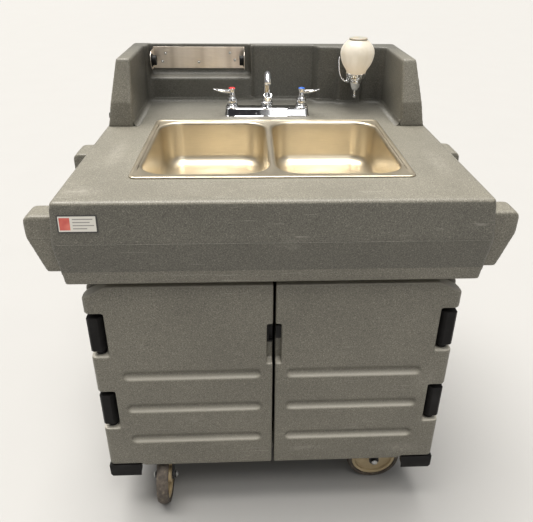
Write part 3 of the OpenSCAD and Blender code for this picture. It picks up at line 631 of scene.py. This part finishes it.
def parting_line(made, height):
    """A thin raised bead where the two halves of the mould met."""
    shape = bmesh.new()
    shape.from_mesh(made.data)
    everything = shape.verts[:] + shape.edges[:] + shape.faces[:]
    cut = bmesh.ops.bisect_plane(shape, geom=everything, plane_co=(0, 0, height * UNIT),
        plane_no=(0, 0, 1))["geom_cut"]
    beside = {}
    for edge in (e for e in cut if isinstance(e, bmesh.types.BMEdge)):
        one, other = edge.verts
        beside.setdefault(one, []).append(other)
        beside.setdefault(other, []).append(one)
    start = min(beside, key=lambda vert: vert.co.y)
    loop, last = [start], None
    while True:
        ahead = [v for v in beside[loop[-1]] if v is not last and v is not start]
        if not ahead or len(loop) > len(beside):
            break
        last = loop[-1]
        loop.append(ahead[0])
    points = [vert.co / UNIT for vert in loop]
    shape.free()
    route = [points[0]]
    for point in points:
        if (point - route[-1]).length > 5:
            route.append(point)
    route = [route[-1]] + route + [route[0]]
    even = [(route[i - 1] + 2 * route[i] + route[i + 1]) / 4 for i in range(1, len(route) - 1)]
    bead = tube("parting_bead", even + [even[0]], 0.75, 6)
    detail(bead, "countertop")


def make_foot_fillet():
    """The soft inner corner where the backsplash stands on the counter."""
    low, high = box("backsplash")
    outline = [(-372, low.y + 2), (-372, 358), (-360, 370), (-44, 372), (-34, 385), (148, 385),
        (166, 350), (222, 350), (230, 332), (298, 332), (306, 350), (360, 350), (372, 338),
        (372, low.y + 2)]
    radius = 11.0
    profile = [(radius + 5, -0.5), (radius + 1.5, 0.25)]
    for step in range(7):
        angle = math.pi / 2 * step / 6
        profile.append((0.3 + radius * (1 - math.sin(angle)), 0.3 + radius * (1 - math.cos(angle))))
    profile += [(0.25, radius + 1.5), (-0.5, radius + 5)]
    rings = [[Vector((x, y, low.z + up)) for x, y in offset(outline, inward)]
        for inward, up in profile]
    count = len(outline)
    points = [p for ring in rings for p in ring]
    faces = [(i * count + j, i * count + j + 1, (i + 1) * count + j + 1, (i + 1) * count + j)
        for i in range(len(rings) - 1) for j in range(count - 1)]
    made = add("foot_fillet", points, faces)
    modifier(made, "SOLIDIFY", thickness=0.0004, offset=0)
    detail(made, "backsplash")


def offset(outline, distance):
    """An open outline moved to its right by a distance, with mitred corners."""
    moved = []
    for i, (x, y) in enumerate(outline):
        normals = []
        for j in (i - 1, i):
            if 0 <= j < len(outline) - 1:
                run = Vector(outline[j + 1]) - Vector(outline[j])
                normals.append(Vector((run.y, -run.x)).normalized())
        mitre = sum(normals, Vector((0, 0))).normalized()
        reach = distance / max(0.4, mitre.dot(normals[0]))
        moved.append((x + mitre.x * reach, y + mitre.y * reach))
    return moved


# ---------- sink ----------


def make_sink():
    """A pressed double bowl: rolled bead, flat deck, rolled lips and drafted walls."""
    low, high = box("sink_basin")
    centre = middle("sink_basin")
    half_x, half_y = (high.x - low.x) / 2, (high.y - low.y) / 2
    top, floor = high.z, low.z + 1.5
    points, faces = [], []

    def ring(at, half_x, half_y, radius, z):
        start = len(points)
        points.extend(round_rect(at, half_x, half_y, radius, z))
        return list(range(start, len(points)))

    def join(one, other):
        for i in range(len(one)):
            j = (i + 1) % len(one)
            faces.append((one[i], one[j], other[j], other[i]))

    bead = [(0, -3.0), (0, -1.4), (0.8, -0.5), (2.6, 0.0), (6.0, 0.0), (8.2, -0.5), (9.6, -1.2),
        (12.5, -1.5)]
    rings = [ring(centre, half_x - inset, half_y - inset, 16 - inset / 2, top + drop)
        for inset, drop in bead]
    for one, other in zip(rings, rings[1:]):
        join(one, other)
    deck_edge = rings[-1]
    holes = []
    for side in (-1, 1):
        at = (side * 153, -70)
        lips = [(8.5, -1.5), (6.0, -1.8), (3.6, -2.7), (1.6, -4.4), (0.4, -7.2), (0, -11),
            (-2.5, -50), (-5.5, -92)]
        for step in range(1, 9):
            angle = math.pi / 2 * step / 8
            lips.append((-5.5 - 33 * (1 - math.cos(angle)), -92 - 31 * math.sin(angle)))
        rings = [ring(at, 144 + grow, 198 + grow, max(60 + grow, 20), top + drop)
            for grow, drop in lips]
        holes.append(rings[0])
        for one, other in zip(rings, rings[1:]):
            join(one, other)
        inner = rings[-1]
        drain = Vector((side * 150, 5, 0))
        level = points[inner[0]].z
        for share, z in ((0.5, None), (1.0, floor + 0.4), (1.12, floor - 0.3)):
            start = len(points)
            for index in inner:
                away = points[index] - drain
                away.z = 0
                edge = drain + away.normalized() * (58 if share <= 1 else 48)
                mixed = points[index].lerp(edge, min(share, 1))
                mixed.z = z if z is not None else (level + floor + 0.4) / 2 - 0.3
                points.append(mixed)
            now = list(range(start, len(points)))
            join(rings[-1], now)
            rings.append(now)
    outlines = [deck_edge] + holes
    loops = [flattened(points, outline) for outline in outlines]
    order = [index for outline in outlines for index in outline]
    for triangle in tessellate_polygon(loops):
        faces.append(tuple(order[i] for i in triangle))
    made = clean(add("sink_bowls", points, faces))
    deck = max(made.data.polygons, key=lambda face: abs(face.normal.z) * face.area)
    if deck.normal.z < 0:
        made.data.flip_normals()
    modifier(made, "SOLIDIFY", thickness=1.2 * UNIT, offset=-1)
    stand_for(made, "sink_basin")


def flattened(points, indexes):
    """Some of the points, all at one height, for the deck's tessellation."""
    return [Vector((points[i].x, points[i].y, 0)) for i in indexes]


# ---------- faucet ----------


def make_faucet():
    low, high = box("faucet_body")
    deck, centre = low.z + 60, middle("faucet_body")
    base = (centre.x, centre.y)
    plan = [(125, 29, 14, 0), (125, 29, 14, 0.9), (124.4, 28.4, 13.6, 1.5), (123.6, 27.5, 13, 1.7),
        (123.4, 27.2, 13, 2.5), (121.6, 21.8, 11, 18.0), (121.4, 21.5, 11, 18.8),
        (120.8, 20.6, 10, 20.3), (119.6, 19.2, 9, 21.4), (118, 17.5, 8, 21.9), (116, 15.5, 6, 22)]
    body = loft("faucet_block", [round_rect(base, hx, hy, r, deck + z) for hx, hy, r, z in plan])
    even_normals(body)
    pieces = [body]
    for side in (-1, 1):
        at = (side * VALVE_X, centre.y, deck)
        pieces.append(lathe("valve_post", [(0, 18), (20, 18), (20, 22.5), (18.6, 24.5), (16.5, 25.5),
            (16, 29), (15.2, 31), (14, 31.8), (0, 31.8)], at, steps=48))
        pieces.append(lathe("valve_shank", [(0, -60), (10, -60), (10, 3), (0, 3)], at, steps=32))
    pieces.append(lathe("spout_boss", [(9.05, 18), (9.05, 33), (15, 33), (16.4, 32), (17, 30.4),
        (17, 24), (18.4, 22.4), (20, 21.7), (20, 18)], (centre.x, centre.y, deck), steps=48))
    stand_for(together("faucet_body_skin", pieces), "faucet_body")

    foot = box("faucet_bonnets")[0].z
    pieces = []
    for side in (-1, 1):
        at = (side * VALVE_X, centre.y, foot)
        ball = [(0, 0.1), (12, 0.1), (14.2, 1.6), (15, 5), (15, 9), (14.4, 13), (12.6, 16.4),
            (10.4, 18.4), (9.2, 20.5), (9.2, 23.6), (6, 24), (6, 30), (0, 30)]
        pieces.append(lathe("bonnet", ball, at, steps=48,
            wobble=lambda a, r, h: r * (1 - 0.05 * max(0, math.cos(6 * a))) if 4 < h < 14 else r))
    stand_for(together("bonnet_pair", pieces), "faucet_bonnets")

    for name, side in (("hot", -1), ("cold", 1)):
        at = Vector((side * VALVE_X, centre.y, 0))
        top = box(name + "_cap")[0].z
        z0 = box(name + "_lever")[0].z
        sleeve = lathe("hub", [(6.1, z0 + 0.2), (10.4, z0 + 0.2), (10.8, z0 + 1.5), (9.2, z0 + 4.5),
            (8.4, z0 + 9), (8.6, z0 + 14), (10.2, top - 1.2), (10.4, top - 0.2), (6.1, top - 0.2)],
            at, steps=48)
        wing = [(4, 6, 6.6, -1.0), (11, 7, 6.8, -0.6), (18, 9.2, 6.8, 0.2), (26, 10.8, 6.2, 1.2),
            (34, 11, 5.4, 2.2), (41, 10, 4.4, 3.4), (47, 8.2, 3.4, 4.6), (52, 5.8, 2.4, 5.6),
            (55.4, 2.6, 1.2, 6.2)]
        rings = []
        for out, wide, thick, lift in wing:
            rings.append([at + Vector((side * out, wide * math.cos(t), top - 7.8 + lift
                + thick * math.sin(t) * (1.0 if math.sin(t) < 0 else 0.62)))
                for t in (2 * math.pi * k / 28 for k in range(28))])
        blade = loft("blade", rings)
        stand_for(together(name + "_lever_skin", [sleeve, blade]), name + "_lever")
        cap = lathe(name + "_button", [(0, 3.0), (3, 2.9), (6, 2.4), (8.6, 1.5), (9.9, 0.6),
            (9.9, 0.0), (0, 0.0)], (at.x, at.y, top), steps=40)
        stand_for(cap, name + "_cap")

    reach, rise, bend = 40, 66, math.radians(150)
    foot = Vector((centre.x, centre.y, deck + 18))
    route = [foot + Vector((0, 0, z)) for z in (27, 40, 50, 60)]
    for step in range(25):
        angle = bend * step / 24
        route.append(foot + Vector((0, -reach + reach * math.cos(angle),
            rise + reach * math.sin(angle))))
    neck = tube("gooseneck", route, 9.4, 28)
    collar = lathe("collar", [(0, 0.2), (9, 0.2), (9, 15.4), (15.6, 15.4), (17, 16.2), (17, 18.6),
        (15.8, 19.6), (13.6, 20.2), (13.4, 24.6), (12.2, 26.2), (10.6, 28), (9.9, 33), (9.4, 34),
        (0, 34)], foot, steps=60,
        wobble=lambda a, r, h: r * (1 - 0.02 * (math.cos(24 * a) > 0)) if 20 < h < 25 else r)
    stand_for(together("spout_skin", [neck, collar]), "spout")
    soften(frame["nodes"]["aerator"], 0.8)


def even_normals(made):
    """Shades flat faces flat and keeps the small round edges smooth."""
    modifier(made, "WEIGHTED_NORMAL", keep_sharp=False, weight=60)
    return applied(made)


def together(name, pieces):
    """Joins objects into one."""
    points, faces = [], []
    for piece in pieces:
        start = len(points)
        points += [vert.co / UNIT for vert in piece.data.vertices]
        faces += [tuple(start + i for i in face.vertices) for face in piece.data.polygons]
        bpy.data.objects.remove(piece)
    return add(name, points, faces)


# ---------- soap dispenser and towel holder ----------


def make_soap():
    low, high = box("soap_globe")
    at = middle("soap_globe")
    foot = Vector((at.x, at.y, low.z + 6))
    outer = [(21.6, -6), (21.6, -3.6), (25.4, -2.4), (28.2, -1), (29.2, 2), (31, 7), (36, 14),
        (41, 22), (45.2, 31), (48.2, 41), (50, 51), (50.4, 58), (49.2, 66), (46.4, 73), (41.6, 80.5),
        (36, 86.5), (31, 90.5), (28.6, 92.4), (27.4, 92.9)]
    inner = [(max(r - 2.6, 18), z) for r, z in outer[::-1]]
    globe = lathe("globe_skin", smooth_profile(outer) + inner + [outer[0]], foot, steps=96,
        wobble=lambda a, r, h: r * (1 + 0.006 * math.cos(10 * a) * max(0, 1 - abs(h - 40) / 50)))
    stand_for(globe, "soap_globe")
    cap_low = box("soap_cap")[0]
    lid = lathe("lid_skin", [(0, 7), (12, 6.9), (20, 6.5), (24.5, 5.8), (26.6, 4.4), (27, 2.6),
        (27, 0.1), (0, 0.1)], (at.x, at.y, cap_low.z), steps=80)
    stand_for(lid, "soap_cap")
    cone = lathe("valve_skin", [(4.06, -54), (7.4, -54), (8.6, -53), (11.8, -48), (15.2, -41),
        (17.4, -34.6), (18.2, -33.6), (19.2, -29), (20.2, -23.6), (19.4, -22.6), (20.6, -21.4),
        (21, -18), (20.4, -16.3), (17.5, -16.3), (17.5, 5), (13, 5), (13, -29), (4.06, -30),
        (4.06, -54)], foot, steps=72)
    stand_for(cone, "soap_valve")
    rod = lathe("plunger_skin", [(0, -11), (8, -11), (8, -14), (4, -14.4), (4, -62), (3.4, -66.4),
        (3.8, -68), (5.2, -70), (5.5, -72), (5.0, -74.6), (3.4, -76.4), (0, -77.4)], foot, steps=40)
    stand_for(rod, "soap_plunger")
    ring = lathe("flute", [(22.2, -14), (27.6, -14), (28.6, -10), (30.0, -4), (30.4, -2.6),
        (29.4, -3), (27, -6.2), (22.2, -6.2), (22.2, -14)], foot, steps=96,
        wobble=lambda a, r, h: r * (1 + 0.03 * math.cos(12 * a)) if r > 28 else r)
    detail(ring, "soap_bracket")
    wall = box("soap_bracket")[1].y - 3
    strap = [(-45, wall, 34), (-47, wall - 10, 20), (-47.5, wall - 26, 2), (-46, wall - 38, -12),
        (-41, wall - 46, -22), (-33, wall - 52, -27), (-25, foot.y - 2, -25)]
    route = smooth_route([Vector((foot.x + x, y, foot.z + z)) for x, y, z in strap])
    detail(tube("strap", route, 2.3, 12), "soap_bracket")
    soften(frame["nodes"]["soap_bracket"], 1.2)


def smooth_route(points, rounds=3):
    """Rounds the corners of a route by cutting them again and again."""
    for _ in range(rounds):
        finer = [points[0]]
        for one, other in zip(points, points[1:]):
            finer += [one.lerp(other, 0.25), one.lerp(other, 0.75)]
        points = finer + [points[-1]]
    return points


def smooth_profile(points):
    return [tuple(p) for p in smooth_route([Vector(p) for p in points], 1)]


def make_small_parts():
    for name, width in (("towel_plate", 0.5), ("towel_hubs", 1.4), ("left_hinge_knuckles", 2.2),
            ("right_hinge_knuckles", 2.2), ("hinge_brackets", 1.0), ("latch_lever", 1.0),
            ("latch_strike", 1.2), ("corner_bumpers", 2.6), ("backsplash_knobs", 1.6),
            ("rigid_forks", 0.9), ("front_swivel_fork", 0.9), ("rear_swivel_fork", 0.9),
            ("swivel_plates", 0.9), ("front_brake_pedal", 1.0), ("rear_brake_pedal", 1.0),
            ("waste_tank", 8.0), ("fresh_tank", 8.0), ("waste_cap", 1.5), ("fresh_cap", 1.5),
            ("water_heater", 5.0), ("pump", 2.0), ("control_box", 2.0), ("rocker_switch", 0.5),
            ("drain_strainers", 0.6), ("drain_manifold", 1.0), ("underside_clamps", 0.6),
            ("door_catches", 1.5), ("info_plate", 0.4)):
        soften(frame["nodes"][name], width)
    for end in ("front", "rear"):
        for side in ("left", "right"):
            soften(frame["nodes"][f"{end}_{side}_hub"], 1.6)
            make_axle_caps(end, side)
            soften(frame["nodes"][f"{end}_{side}_tyre"], 2.0)


def make_axle_caps(end, side):
    """Bright domed nuts on both ends of a caster's axle."""
    centre = middle(f"{end}_{side}_hub")
    fork = f"{end}_swivel_fork" if side == "left" else "rigid_forks"
    dome = [(0, 3.6), (3.4, 3.4), (5.6, 2.2), (6.6, 0.6), (8.4, 0.3), (8.6, -1.2), (0, -1.2)]
    for way in (-1, 1):
        across = Vector((1, 0, 0)) if side == "left" else Vector((0, 1, 0))
        axis = ("-" if way < 0 else "") + ("X" if side == "left" else "Y")
        nut = lathe(f"{end}_{side}_nut_{'a' if way < 0 else 'b'}", dome,
            centre + across * way * AXLE_END, axis, 32)
        detail(nut, fork, "zinc_steel")


# ---------- scene ----------


def make_camera():
    """The photograph's viewing angle: a standing person's view, a little to the left."""
    yaw, pitch, roll = (math.radians(a) for a in (2.901, 27.266, -0.702))
    forward = Vector((math.sin(yaw) * math.cos(pitch), math.cos(yaw) * math.cos(pitch),
        -math.sin(pitch)))
    level = Vector((math.cos(yaw), -math.sin(yaw), 0))
    down = forward.cross(level)
    right = math.cos(roll) * level + math.sin(roll) * down
    up = math.sin(roll) * level - math.cos(roll) * down
    data = bpy.data.cameras.new("camera")
    data.lens = 37.396
    data.sensor_width = 36
    data.shift_x = -0.0162
    data.shift_y = -0.0564
    camera = bpy.data.objects.new("camera", data)
    bpy.context.scene.collection.objects.link(camera)
    camera.matrix_world = Matrix((
        (right.x, up.x, -forward.x, -0.0533), (right.y, up.y, -forward.y, -1.4161),
        (right.z, up.z, -forward.z, 1.3897), (0, 0, 0, 1)))
    bpy.context.scene.camera = camera


def make_world():
    """A soft room: bright ceiling, pale horizon and dim lower walls."""
    world = bpy.data.worlds.new("room")
    world.use_nodes = True
    bpy.context.scene.world = world
    nodes, links = world.node_tree.nodes, world.node_tree.links
    split = nodes.new("ShaderNodeSeparateXYZ")
    ramp = nodes.new("ShaderNodeValToRGB")
    place = nodes.new("ShaderNodeMapRange")
    links.new(nodes.new("ShaderNodeTexCoord").outputs["Generated"], split.inputs["Vector"])
    place.inputs["From Min"].default_value = -1
    links.new(split.outputs["Z"], place.inputs["Value"])
    links.new(place.outputs["Result"], ramp.inputs["Fac"])
    stops = [(0.0, 0.20), (0.47, 0.22), (0.50, 0.34), (0.56, 0.34), (0.62, 0.18), (0.80, 0.35),
        (0.93, 1.5)]
    elements = ramp.color_ramp.elements
    while len(elements) < len(stops):
        elements.new(0.5)
    for element, (position, level) in zip(elements, stops):
        element.position = position
        element.color = (level, level * 0.985, level * 0.96, 1)
    links.new(ramp.outputs["Color"], nodes["Background"].inputs["Color"])
    nodes["Background"].inputs["Strength"].default_value = 1.0


def make_light(name, kind, energy, place, aim, **settings):
    data = bpy.data.lights.new(name, kind)
    data.energy = energy
    for key, value in settings.items():
        setattr(data, key, value)
    light = bpy.data.objects.new(name, data)
    bpy.context.scene.collection.objects.link(light)
    light.location = Vector(place)
    light.rotation_mode = "QUATERNION"
    light.rotation_quaternion = (Vector(place) - Vector(aim)).to_track_quat("Z", "Y")
    return light


def make_studio():
    """Soft light, a pale floor, and a lamp and dark panels that only reflections see."""
    make_world()
    warm = (1.0, 0.97, 0.92)
    make_light("ceiling", "SUN", 6.6, (-0.5, 0.45, 3.0), (0, 0, 0), angle=math.radians(48),
        color=warm)
    make_light("front", "SUN", 0.8, (0.7, -1.5, 3.0), (0, 0, 0), angle=math.radians(16), color=warm)
    window = make_light("window", "AREA", 12, (0.90, -3.2, 2.38), (0.3, 0.19, 0.95),
        shape="RECTANGLE", size=1.5, size_y=1.5, color=(1.0, 0.99, 0.97))
    window.visible_diffuse = False
    panels = [((-2600, -3300, 800), (60, -3300, 3000))]
    panels += [((x, -2200, 2500), (x + 300, 1600, 2500)) for x in range(-1700, 1500, 620)]
    points, faces = [], []
    for low, high in panels:
        start = len(points)
        if low[1] == high[1]:
            points += [low, (high[0], low[1], low[2]), high, (low[0], low[1], high[2])]
        else:
            points += [low, (high[0], low[1], low[2]), high, (low[0], high[1], low[2])]
        faces.append(tuple(range(start, start + 4)))
    shade = add("shade", points, faces)
    s = Shader("shade", (0.01, 0.01, 0.014), 0.9)
    s.link(s.mix((0.008, 0.008, 0.012), (0.014, 0.013, 0.016), s.noise(400)), "Base Color")
    shade.data.materials.append(s.material)
    shade.visible_diffuse = False
    shade.visible_camera = False
    shade.visible_shadow = False
    floor = add("floor", [(-1, -1, 0), (1, -1, 0), (1, 1, 0), (-1, 1, 0)], [(0, 1, 2, 3)])
    floor.data.transform(Matrix.Scale(FLOOR_EDGE / UNIT, 4))
    s = Shader("floor", (0.28, 0.276, 0.27), 0.8)
    s.link(s.mix((0.275, 0.272, 0.266), (0.285, 0.282, 0.276), s.noise(300, 3.0)), "Base Color")
    floor.data.materials.append(s.material)
    bpy.context.scene.view_settings.view_transform = "Standard"


make_camera()
make_studio()
make_skins()
make_foot_fillet()
make_sink()
make_faucet()
make_soap()
make_small_parts()

for name, node in frame["nodes"].items():
    if not node.hide_render:
        node.data.materials.clear()
        slot = "towel_steel" if name == "towel_plate" else SLOT_OF[name]
        node.data.materials.append(MATERIALS[slot])
